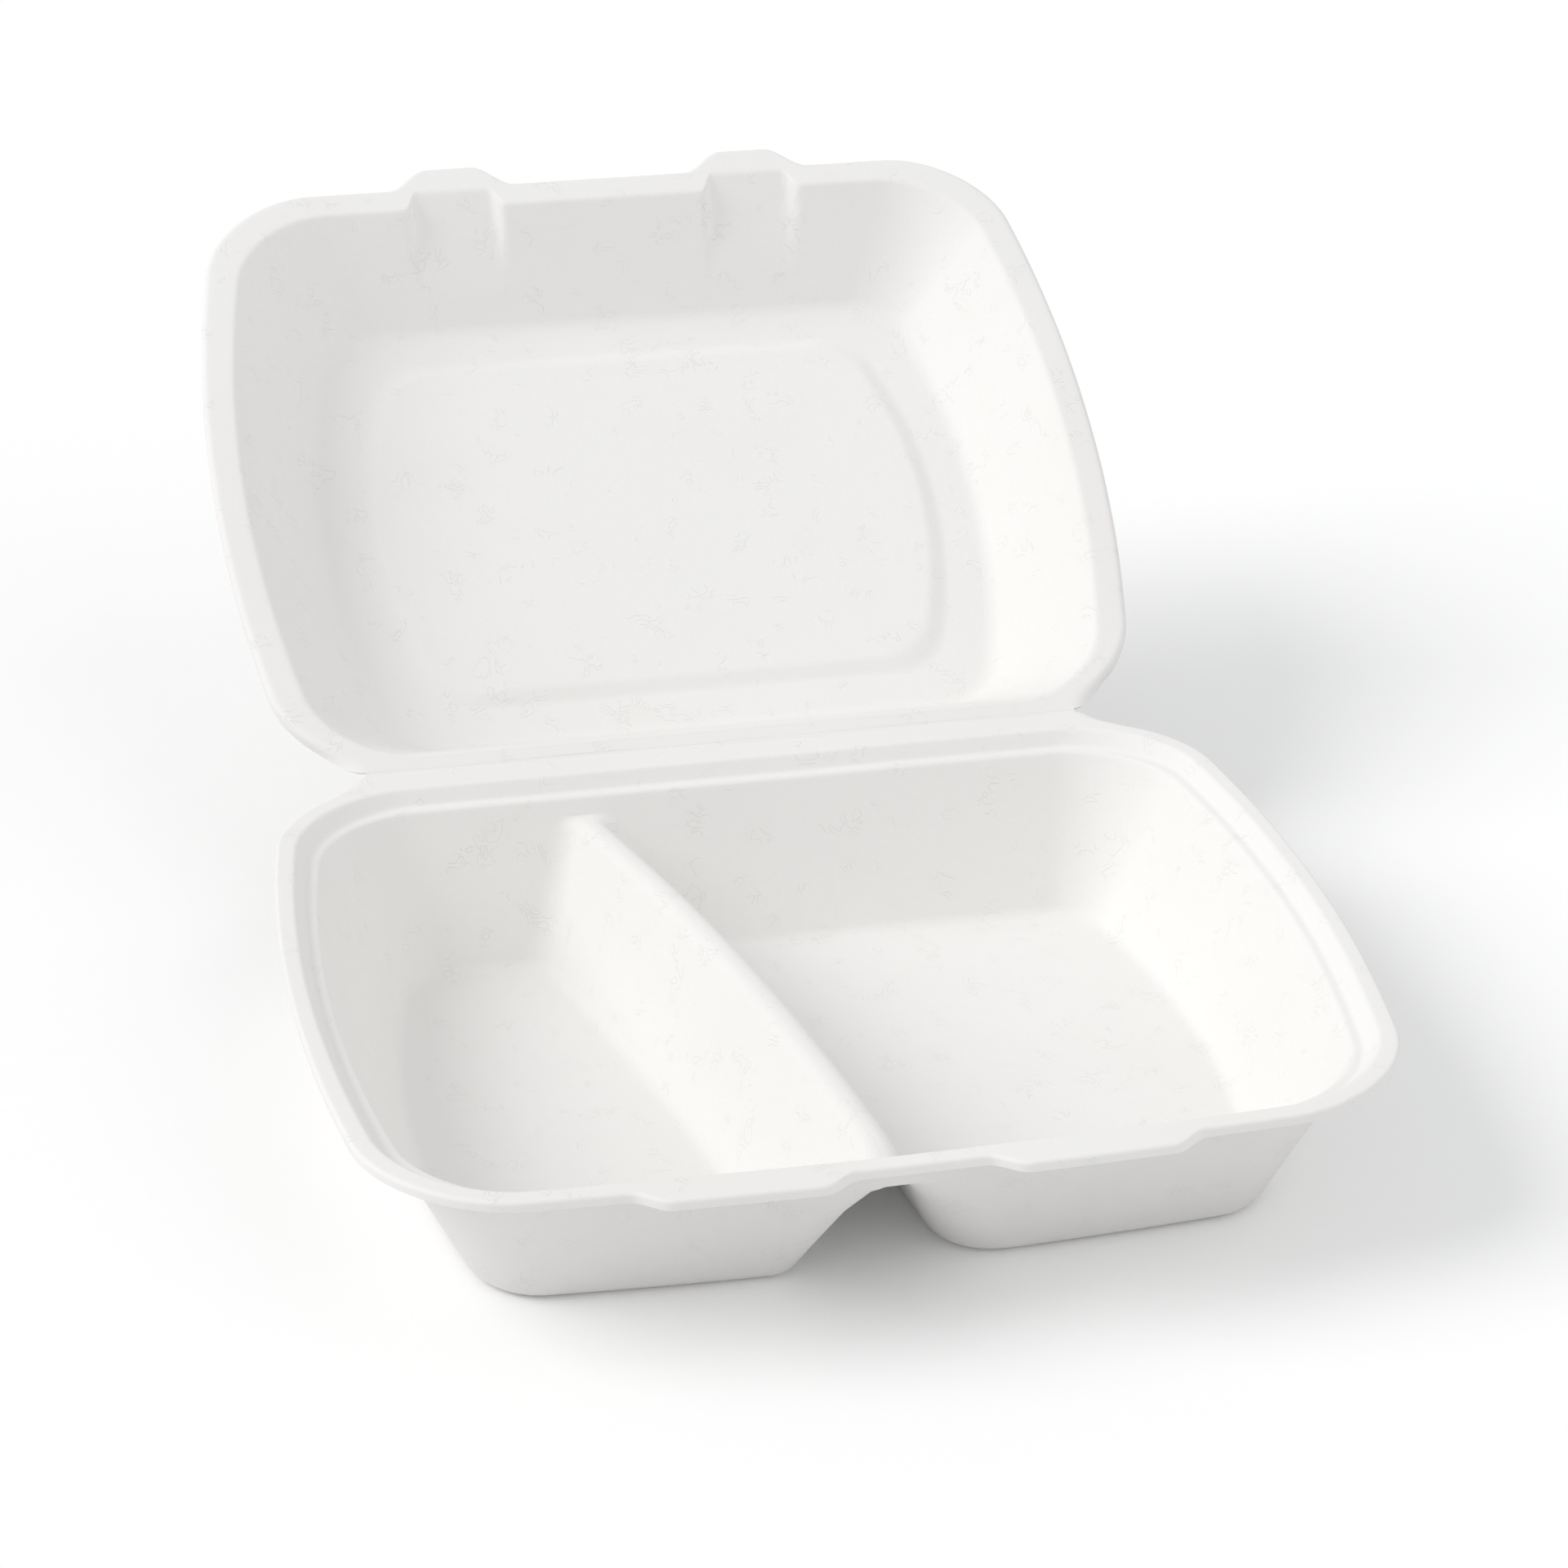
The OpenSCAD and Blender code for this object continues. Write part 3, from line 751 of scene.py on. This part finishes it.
class Tree:
    """A node tree in which every node comes from one method."""

    def __init__(self, tree: bpy.types.NodeTree) -> None:
        """Starts on a tree with its nodes cleared."""
        self.tree = tree
        tree.nodes.clear()

    def node(self, kind: str, settings: Optional[dict[str, Any]] = None,
             inputs: Optional[dict[Union[str, int], Value]] = None, output: Union[str, int] = 0) -> Sock:
        """Adds a node.

        Args:
            kind: the node's type.
            settings: its properties, which are set first.
            inputs: values or links of its sockets, by name or place.
            output: name or place of the output that is wanted.

        Returns:
            That output.
        """
        node = self.tree.nodes.new(kind)
        for key, value in (settings or {}).items():
            setattr(node, key, value)
        for key, value in (inputs or {}).items():
            socket = node.inputs[key]
            if isinstance(value, Sock):
                self.tree.links.new(value.socket, socket)
            else:
                socket.default_value = value
        return Sock(self, node.outputs[output] if len(node.outputs) else None)

    def other(self, sock: Sock, output: Union[str, int]) -> Sock:
        """Returns another output of the node that an output belongs to."""
        return Sock(self, sock.socket.node.outputs[output])

    def noise(self, place: Sock, scale: float, detail: float = 2.0, roughness: float = 0.5,
              distortion: float = 0.0) -> Sock:
        """Returns a noise texture's factor, with its scale in repeats to the metre."""
        return self.node("ShaderNodeTexNoise", {}, {"Vector": place, "Scale": scale, "Detail": detail,
                                                    "Roughness": roughness, "Distortion": distortion})

    def mix(self, share: Value, a: Value, b: Value) -> Sock:
        """Returns a colour a share of the way from a to b."""
        return self.node("ShaderNodeMix", {"data_type": "RGBA"}, {0: share, 6: a, 7: b}, 2)


def rgba(colour: Colour) -> tuple[float, float, float, float]:
    """Returns a colour with full alpha."""
    return (*colour, 1.0)


@dataclass(frozen=True)
class MouldedFibre:
    """Uncoated pressed sugarcane pulp: matt, warm white, with mottling, flecks and a fine tooth."""

    name: str = "moulded_fibre"
    sheet: Colour = (0.873, 0.861, 0.845)
    pale: Colour = (0.892, 0.884, 0.871)
    warm: Colour = (0.852, 0.832, 0.803)
    fleck: Colour = (0.70, 0.63, 0.52)
    mottling_scale: float = 34.0
    cloud_scale: float = 9.0
    strand_scale: float = 210.0
    strand_patch_scale: float = 130.0
    strand_width: float = 0.012
    tooth_scale: float = 1500.0
    felt_scale: float = 340.0
    roughness: float = 0.80
    pressed_roughness: float = 0.66
    tooth_height: float = 0.00004
    felt_height: float = 0.00007
    strand_height: float = 0.00005
    cloud_edges: tuple[float, float] = (0.35, 0.65)
    mottling_edges: tuple[float, float] = (0.52, 0.78)
    patch_edges: tuple[float, float] = (0.56, 0.66)
    mottling_share: float = 0.26
    strand_share: float = 0.09
    rough_change: float = 0.12
    felt_pressed_out: float = 0.6
    specular: float = 0.28

    def strands(self, tree: Tree, place: Sock) -> Sock:
        """Returns a mask of single fibres: thin winding lines that show only in patches."""
        line = tree.noise(place, self.strand_scale, 1.0, 0.4, 1.6) - 0.5
        patch = tree.noise(place, self.strand_patch_scale, 1.0)
        return line.absolute().smooth(self.strand_width, 0.0) * patch.smooth(*self.patch_edges)

    def make(self) -> bpy.types.Material:
        """Returns the material, which reads Object coordinates and the marks that the sheets carry."""
        material = bpy.data.materials.new(self.name)
        material.use_nodes = True
        tree = Tree(material.node_tree)
        place = tree.node("ShaderNodeTexCoord", {}, {}, "Object")
        pressed = tree.node("ShaderNodeAttribute", {"attribute_name": "pressed"}, {}, "Fac")
        cloud = tree.noise(place, self.cloud_scale, 2.0)
        mottling = tree.noise(place, self.mottling_scale, 4.0, 0.6)
        strands = self.strands(tree, place)
        colour = tree.mix(cloud.smooth(*self.cloud_edges), rgba(self.sheet), rgba(self.pale))
        warmed = mottling.smooth(*self.mottling_edges) * self.mottling_share
        colour = tree.mix(warmed, colour, rgba(self.warm))
        colour = tree.mix(strands * self.strand_share, colour, rgba(self.fleck))
        tooth = tree.noise(place, self.tooth_scale, 2.0, 0.6)
        felt = tree.noise(place, self.felt_scale, 3.0, 0.55)
        height = felt * self.felt_height * (1 - pressed * self.felt_pressed_out) \
            + tooth * self.tooth_height + strands * self.strand_height
        bump = tree.node("ShaderNodeBump", {}, {"Strength": 1.0, "Distance": 1.0, "Height": height})
        rough = self.roughness + (mottling - 0.5) * self.rough_change \
            - pressed * (self.roughness - self.pressed_roughness)
        shader = tree.node("ShaderNodeBsdfPrincipled", {}, {
            "Base Color": colour, "Roughness": rough, "Specular IOR Level": self.specular, "Normal": bump})
        tree.node("ShaderNodeOutputMaterial", {}, {"Surface": shader})
        return material


@dataclass(frozen=True)
class StudioFloor:
    """A plain pale floor that reads white to the camera and keeps the object's shadow."""

    name: str = "studio_floor"
    colour: Colour = (0.86, 0.86, 0.86)
    seen_colour: Colour = (0.97, 0.97, 0.97)
    lift: float = 0.05
    size: float = 8.0

    def make(self) -> bpy.types.Material:
        """Returns the floor's material."""
        material = bpy.data.materials.new(self.name)
        material.use_nodes = True
        tree = Tree(material.node_tree)
        paths = tree.node("ShaderNodeLightPath", {}, {}, "Is Camera Ray")
        plain = tree.node("ShaderNodeBsdfDiffuse", {}, {"Color": rgba(self.colour)})
        seen = tree.node("ShaderNodeBsdfDiffuse", {}, {"Color": rgba(self.seen_colour)})
        lifted = tree.node("ShaderNodeEmission", {}, {"Color": rgba((1, 1, 1)), "Strength": self.lift})
        both = tree.node("ShaderNodeAddShader", {}, {0: seen, 1: lifted})
        shader = tree.node("ShaderNodeMixShader", {}, {0: paths, 1: plain, 2: both})
        tree.node("ShaderNodeOutputMaterial", {}, {"Surface": shader})
        return material

    def place(self) -> None:
        """Lays the floor under the feet."""
        half = self.size / 2
        mesh = bpy.data.meshes.new("studio_floor")
        corners = [(-half, -half, 0), (half, -half, 0), (half, half, 0), (-half, half, 0)]
        mesh.from_pydata(corners, [], [(0, 1, 2, 3)])
        mesh.materials.append(self.make())
        floor = bpy.data.objects.new("studio_floor", mesh)
        bpy.context.collection.objects.link(floor)


class GeometryTree(Tree):
    """A geometry node tree with named inputs, run once on an object and then taken off it."""

    def __init__(self, name: str, inputs: dict[str, tuple[str, Any]]) -> None:
        """Makes the tree.

        Args:
            name: the tree's name.
            inputs: socket type and value of each input, by name.
        """
        group = bpy.data.node_groups.new(name, "GeometryNodeTree")
        super().__init__(group)
        group.is_modifier = True
        face = group.interface
        face.new_socket("Geometry", in_out="INPUT", socket_type="NodeSocketGeometry")
        face.new_socket("Geometry", in_out="OUTPUT", socket_type="NodeSocketGeometry")
        self.values = inputs
        self.keys = {}
        for key, (kind, _) in inputs.items():
            self.keys[key] = face.new_socket(key, in_out="INPUT", socket_type=kind).identifier
        self.start = self.node("NodeGroupInput", {}, {}, "Geometry")

    def given(self, name: str) -> Sock:
        """Returns a named input of the tree."""
        return self.other(self.start, name)

    def vector(self, operation: str, *values: Value) -> Sock:
        """Returns the result of a Vector Math node."""
        places = {k: v for k, v in enumerate(values)}
        if operation == "SCALE":
            places = {0: values[0], "Scale": values[1]}
        return self.node("ShaderNodeVectorMath", {"operation": operation}, places)

    def thickened(self, face: Sock, thickness: Sock) -> Sock:
        """Gives a moulded face its thickness and closes it along its cut edge.

        Args:
            face: the face that is seen from above.
            thickness: the sheet's thickness in metres.

        Returns:
            The closed sheet.
        """
        point = {"data_type": "FLOAT_VECTOR", "domain": "POINT"}
        stored = self.node("GeometryNodeStoreNamedAttribute", point, {
            "Geometry": face, "Name": "facing", "Value": self.node("GeometryNodeInputNormal")})
        turned = self.node("GeometryNodeFlipFaces", {}, {"Mesh": stored})
        grown = self.node("GeometryNodeExtrudeMesh", {"mode": "FACES"},
                          {"Mesh": turned, "Offset Scale": 0.0, "Individual": False})
        under = self.other(grown, "Top")
        facing = self.node("GeometryNodeInputNamedAttribute", {"data_type": "FLOAT_VECTOR"},
                           {"Name": "facing"})
        moved = self.node("GeometryNodeSetPosition", {}, {
            "Geometry": grown, "Selection": under, "Offset": self.vector("SCALE", facing, thickness * -1)})
        both = self.node("GeometryNodeJoinGeometry")
        for part in (moved, face):
            self.tree.links.new(part.socket, both.socket.node.inputs[0])
        return self.node("GeometryNodeMergeByDistance", {}, {"Geometry": both, "Distance": MERGE_DISTANCE})

    def finish(self, geometry: Sock, material: bpy.types.Material) -> None:
        """Ends the tree in real, smooth faces of one material."""
        smooth = self.node("GeometryNodeSetShadeSmooth", {}, {"Geometry": geometry, "Shade Smooth": True})
        real = self.node("GeometryNodeRealizeInstances", {}, {"Geometry": smooth})
        dressed = self.node("GeometryNodeSetMaterial", {}, {"Geometry": real, "Material": material})
        self.node("NodeGroupOutput", {}, {"Geometry": dressed})

    def run_on(self, name: str, mesh: bpy.types.Mesh, crisp_angle: float) -> bpy.types.Object:
        """Runs the tree on a mesh.

        Args:
            name: the finished piece's name.
            mesh: the mesh that it starts from.
            crisp_angle: angle in radians past which an edge stays crisp.

        Returns:
            The finished piece, a plain mesh at the origin.
        """
        piece = bpy.data.objects.new(name, mesh)
        bpy.context.collection.objects.link(piece)
        modifier = piece.modifiers.new(name, "NODES")
        modifier.node_group = self.tree
        for key, (_, value) in self.values.items():
            modifier[self.keys[key]] = value
        bpy.context.view_layer.update()
        seen = piece.evaluated_get(bpy.context.evaluated_depsgraph_get())
        made = bpy.data.meshes.new_from_object(seen)
        made.name = name
        piece.modifiers.remove(modifier)
        piece.data = made
        made.set_sharp_from_angle(angle=crisp_angle)
        return piece


@dataclass(frozen=True)
class PressedSheet:
    """Gives a moulded face its thickness, closes it along its cut edge and lets it wander a little."""

    waviness: float = 0.00016
    wave_scale: float = 26.0
    level_z: float = 0.003
    crisp: float = math.radians(65)

    def tree(self, name: str, material: bpy.types.Material, seed: float) -> GeometryTree:
        """Builds the tree.

        Args:
            name: the tree's name.
            material: what the sheet is made of.
            seed: where its waviness starts.

        Returns:
            The tree, ready to run.
        """
        tree = GeometryTree(name, {
            "Waviness": ("NodeSocketFloat", self.waviness),
            "Wave scale": ("NodeSocketFloat", self.wave_scale),
            "Level height": ("NodeSocketFloat", self.level_z), "Seed": ("NodeSocketFloat", seed)})
        thick = tree.node("GeometryNodeInputNamedAttribute", {"data_type": "FLOAT"}, {"Name": "thickness"})
        merged = tree.thickened(tree.start, thick * MM)
        place = tree.node("GeometryNodeInputPosition")
        wave = tree.node("ShaderNodeTexNoise", {"noise_dimensions": "4D"},
                         {"Vector": place, "W": tree.given("Seed"), "Scale": tree.given("Wave scale"),
                          "Detail": 1.0}, "Color")
        height = tree.other(tree.node("ShaderNodeSeparateXYZ", {}, {"Vector": place}), "Z")
        free = tree.node("ShaderNodeMapRange", {}, {"Value": height, "From Min": 0.0,
                                                    "From Max": tree.given("Level height")})
        amount = free * tree.given("Waviness")
        sway = tree.vector("SCALE", tree.vector("SUBTRACT", wave, (0.5, 0.5, 0.5)), amount * 2)
        swayed = tree.node("GeometryNodeSetPosition", {}, {"Geometry": merged, "Offset": sway})
        tree.finish(swayed, material)
        return tree


@dataclass(frozen=True)
class CreaseStrip:
    """The narrow strip that bends, swept along the crease between the two webs."""

    crease: Crease
    along_steps: int = 128
    across_steps: int = 12

    def tree(self, material: bpy.types.Material) -> GeometryTree:
        """Returns the tree that sweeps the strip's section along the crease."""
        c = self.crease
        tree = GeometryTree("crease_strip", {
            "Length": ("NodeSocketFloat", (c.length - c.run_out) * MM),
            "Half width": ("NodeSocketFloat", c.half_strip * MM), "Gap": ("NodeSocketFloat", c.gap * MM),
            "Bend": ("NodeSocketFloat", math.radians(c.lid_angle)),
            "Groove": ("NodeSocketFloat", c.groove * MM),
            "Thickness": ("NodeSocketFloat", c.thickness * MM)})
        half, gap, bend = tree.given("Half width"), tree.given("Gap"), tree.given("Bend")
        grid = tree.node("GeometryNodeMeshGrid", {}, {
            "Size X": tree.given("Length"), "Size Y": half * 2,
            "Vertices X": self.along_steps + 1, "Vertices Y": self.across_steps + 1})
        split = tree.node("ShaderNodeSeparateXYZ", {}, {"Vector": tree.node("GeometryNodeInputPosition")})
        t = tree.other(split, "Y") / half * 0.5 + 0.5
        rest = 1 - t
        cosine = tree.node("ShaderNodeMath", {"operation": "COSINE"}, {0: bend})
        knee_y = gap * tree.node("ShaderNodeMath", {"operation": "TANGENT"}, {0: bend * 0.5})
        lid_y = half * cosine + gap * bend.sine()
        lid_z = half * bend.sine() - gap * cosine
        y = rest * rest * half * -1 + t * rest * knee_y * 2 + t * t * lid_y
        pinch = t * rest * 4
        z = t * t * lid_z - (rest * rest + t * rest * 2) * gap - pinch * pinch * tree.given("Groove")
        place = tree.node("ShaderNodeCombineXYZ", {}, {"X": split, "Y": y, "Z": z})
        swept = tree.node("GeometryNodeSetPosition", {}, {"Geometry": grid, "Position": place})
        pressed = tree.node("GeometryNodeStoreNamedAttribute", {"data_type": "FLOAT", "domain": "POINT"},
                            {"Geometry": swept, "Name": "pressed", "Value": 1.0})
        tree.finish(tree.thickened(pressed, tree.given("Thickness")), material)
        return tree


class Container:
    """The whole container, made in its own place in the frame."""

    def __init__(self) -> None:
        """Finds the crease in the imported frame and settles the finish."""
        self.hinge = Vector(frame["joints"][0]["pos_m"])
        self.crease = Crease()
        self.tray = Tray(self.crease, Rim(edge_r=0.9, turn=2.4))
        self.lid = Lid(self.crease, Rim())
        self.finish = MouldedFibre().make()
        self.sheet = PressedSheet()

    def tilt(self) -> Matrix:
        """Returns the turn from the flat-open place of the lid to its place in the frame."""
        return Matrix.Rotation(math.radians(self.crease.lid_angle), 4, "X")

    def make_tray(self) -> bpy.types.Object:
        """Makes the tray's sheet, which stands for the base."""
        face = self.tray.upper_face()
        back = (self.tray.depth / 2 + self.crease.tray_side) * MM
        face.transform(Matrix.Translation((0, self.hinge.y - back, 0)))
        piece = self.sheet.tree("tray_sheet", self.finish, 1.0).run_on("tray_sheet", face, self.sheet.crisp)
        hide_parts("base")
        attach(piece, "tray")
        return piece

    def make_lid(self) -> bpy.types.Object:
        """Makes the lid's sheet, which stands for the lid."""
        face = self.lid.upper_face()
        half_turn = Matrix.Rotation(math.pi, 4, "Z")
        to_crease = Matrix.Translation((0, self.lid.hinge_reach() * MM, 0)) @ half_turn
        face.transform(Matrix.Translation(self.hinge) @ self.tilt() @ to_crease)
        piece = self.sheet.tree("lid_sheet", self.finish, 5.0).run_on("lid_sheet", face, self.sheet.crisp)
        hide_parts("lid")
        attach(piece, "lid")
        return piece

    def make_crease(self) -> bpy.types.Object:
        """Makes the strip that bends between the tray's web and the lid's."""
        blank = bpy.data.meshes.new("crease_blank")
        piece = CreaseStrip(self.crease).tree(self.finish).run_on("crease_strip", blank, self.sheet.crisp)
        piece.data.transform(Matrix.Translation(self.hinge))
        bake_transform(piece)
        return piece

    def build(self) -> None:
        """Makes every piece in order and reports it."""
        for make in (self.make_tray, self.make_lid, self.make_crease):
            piece = make()
            LOG.info("%s: %d faces", piece.name, len(piece.data.polygons))


@dataclass(frozen=True)
class Viewpoint:
    """The photograph's camera, in metres and degrees."""

    target: tuple[float, float, float] = (0.01011, -0.00801, 0.03967)
    distance: float = 1.02244
    azimuth: float = -13.056
    elevation: float = 27.413
    roll: float = 0.714
    lens: float = 95.52
    sensor: float = 36.0

    def place(self) -> None:
        """Makes the camera and takes it as the scene's own."""
        azimuth, elevation, roll = (math.radians(v) for v in (self.azimuth, self.elevation, self.roll))
        out = Vector((math.sin(azimuth) * math.cos(elevation), -math.cos(azimuth) * math.cos(elevation),
                      math.sin(elevation)))
        level = (-out).cross(Vector((0, 0, 1))).normalized()
        above = level.cross(-out)
        right = level * math.cos(roll) + above * math.sin(roll)
        up = above * math.cos(roll) - level * math.sin(roll)
        turn = Matrix((right, up, out)).transposed().to_4x4()
        data = bpy.data.cameras.new("camera")
        data.lens = self.lens
        data.sensor_width = self.sensor
        data.clip_end = 100.0
        camera = bpy.data.objects.new("camera", data)
        camera.matrix_world = Matrix.Translation(Vector(self.target) + out * self.distance) @ turn
        bpy.context.collection.objects.link(camera)
        bpy.context.scene.camera = camera


@dataclass(frozen=True)
class Lamp:
    """A broad lamp that is far away."""

    name: str
    energy: float
    travel: tuple[float, float, float]
    spread: float
    colour: Colour = (1.0, 0.995, 0.985)

    def hang(self) -> None:
        """Puts the lamp in the scene, turned the way its light travels."""
        data = bpy.data.lights.new(self.name, "SUN")
        data.energy = self.energy
        data.angle = math.radians(self.spread)
        data.color = self.colour
        lamp = bpy.data.objects.new(self.name, data)
        lamp.rotation_euler = Vector(self.travel).to_track_quat("-Z", "Y").to_euler()
        bpy.context.collection.objects.link(lamp)


@dataclass(frozen=True)
class Studio:
    """Soft daylight: a broad lamp from the left, a weak one from the right, and pale air all round."""

    air: float = 0.65
    air_colour: Colour = (0.985, 0.992, 1.0)
    lamps: tuple[Lamp, ...] = (
        Lamp("key_lamp", 1.35, (0.77, -0.08, -0.63), 36.0),
        Lamp("fill_lamp", 0.36, (-0.60, 0.40, -0.55), 60.0))

    def light_world(self) -> None:
        """Sets the air's light and the white that the camera sees behind the object."""
        world = bpy.data.worlds.new("studio_air")
        world.use_nodes = True
        tree = Tree(world.node_tree)
        seen = tree.node("ShaderNodeLightPath", {}, {}, "Is Camera Ray")
        air = tree.node("ShaderNodeBackground", {}, {"Color": rgba(self.air_colour), "Strength": self.air})
        white = tree.node("ShaderNodeBackground", {}, {"Color": rgba((1, 1, 1)), "Strength": 1.0})
        both = tree.node("ShaderNodeMixShader", {}, {0: seen, 1: air, 2: white})
        tree.node("ShaderNodeOutputWorld", {}, {"Surface": both})
        bpy.context.scene.world = world

    def build(self) -> None:
        """Sets up the light, the floor and the camera."""
        self.light_world()
        for lamp in self.lamps:
            lamp.hang()
        StudioFloor().place()
        Viewpoint().place()
        bpy.context.scene.view_settings.view_transform = "Standard"


def main() -> None:
    """Builds the container and the studio."""
    logging.basicConfig(level=logging.INFO, format="%(name)s: %(message)s")
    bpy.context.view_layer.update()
    Studio().build()
    Container().build()


if __name__ == "__main__":
    main()
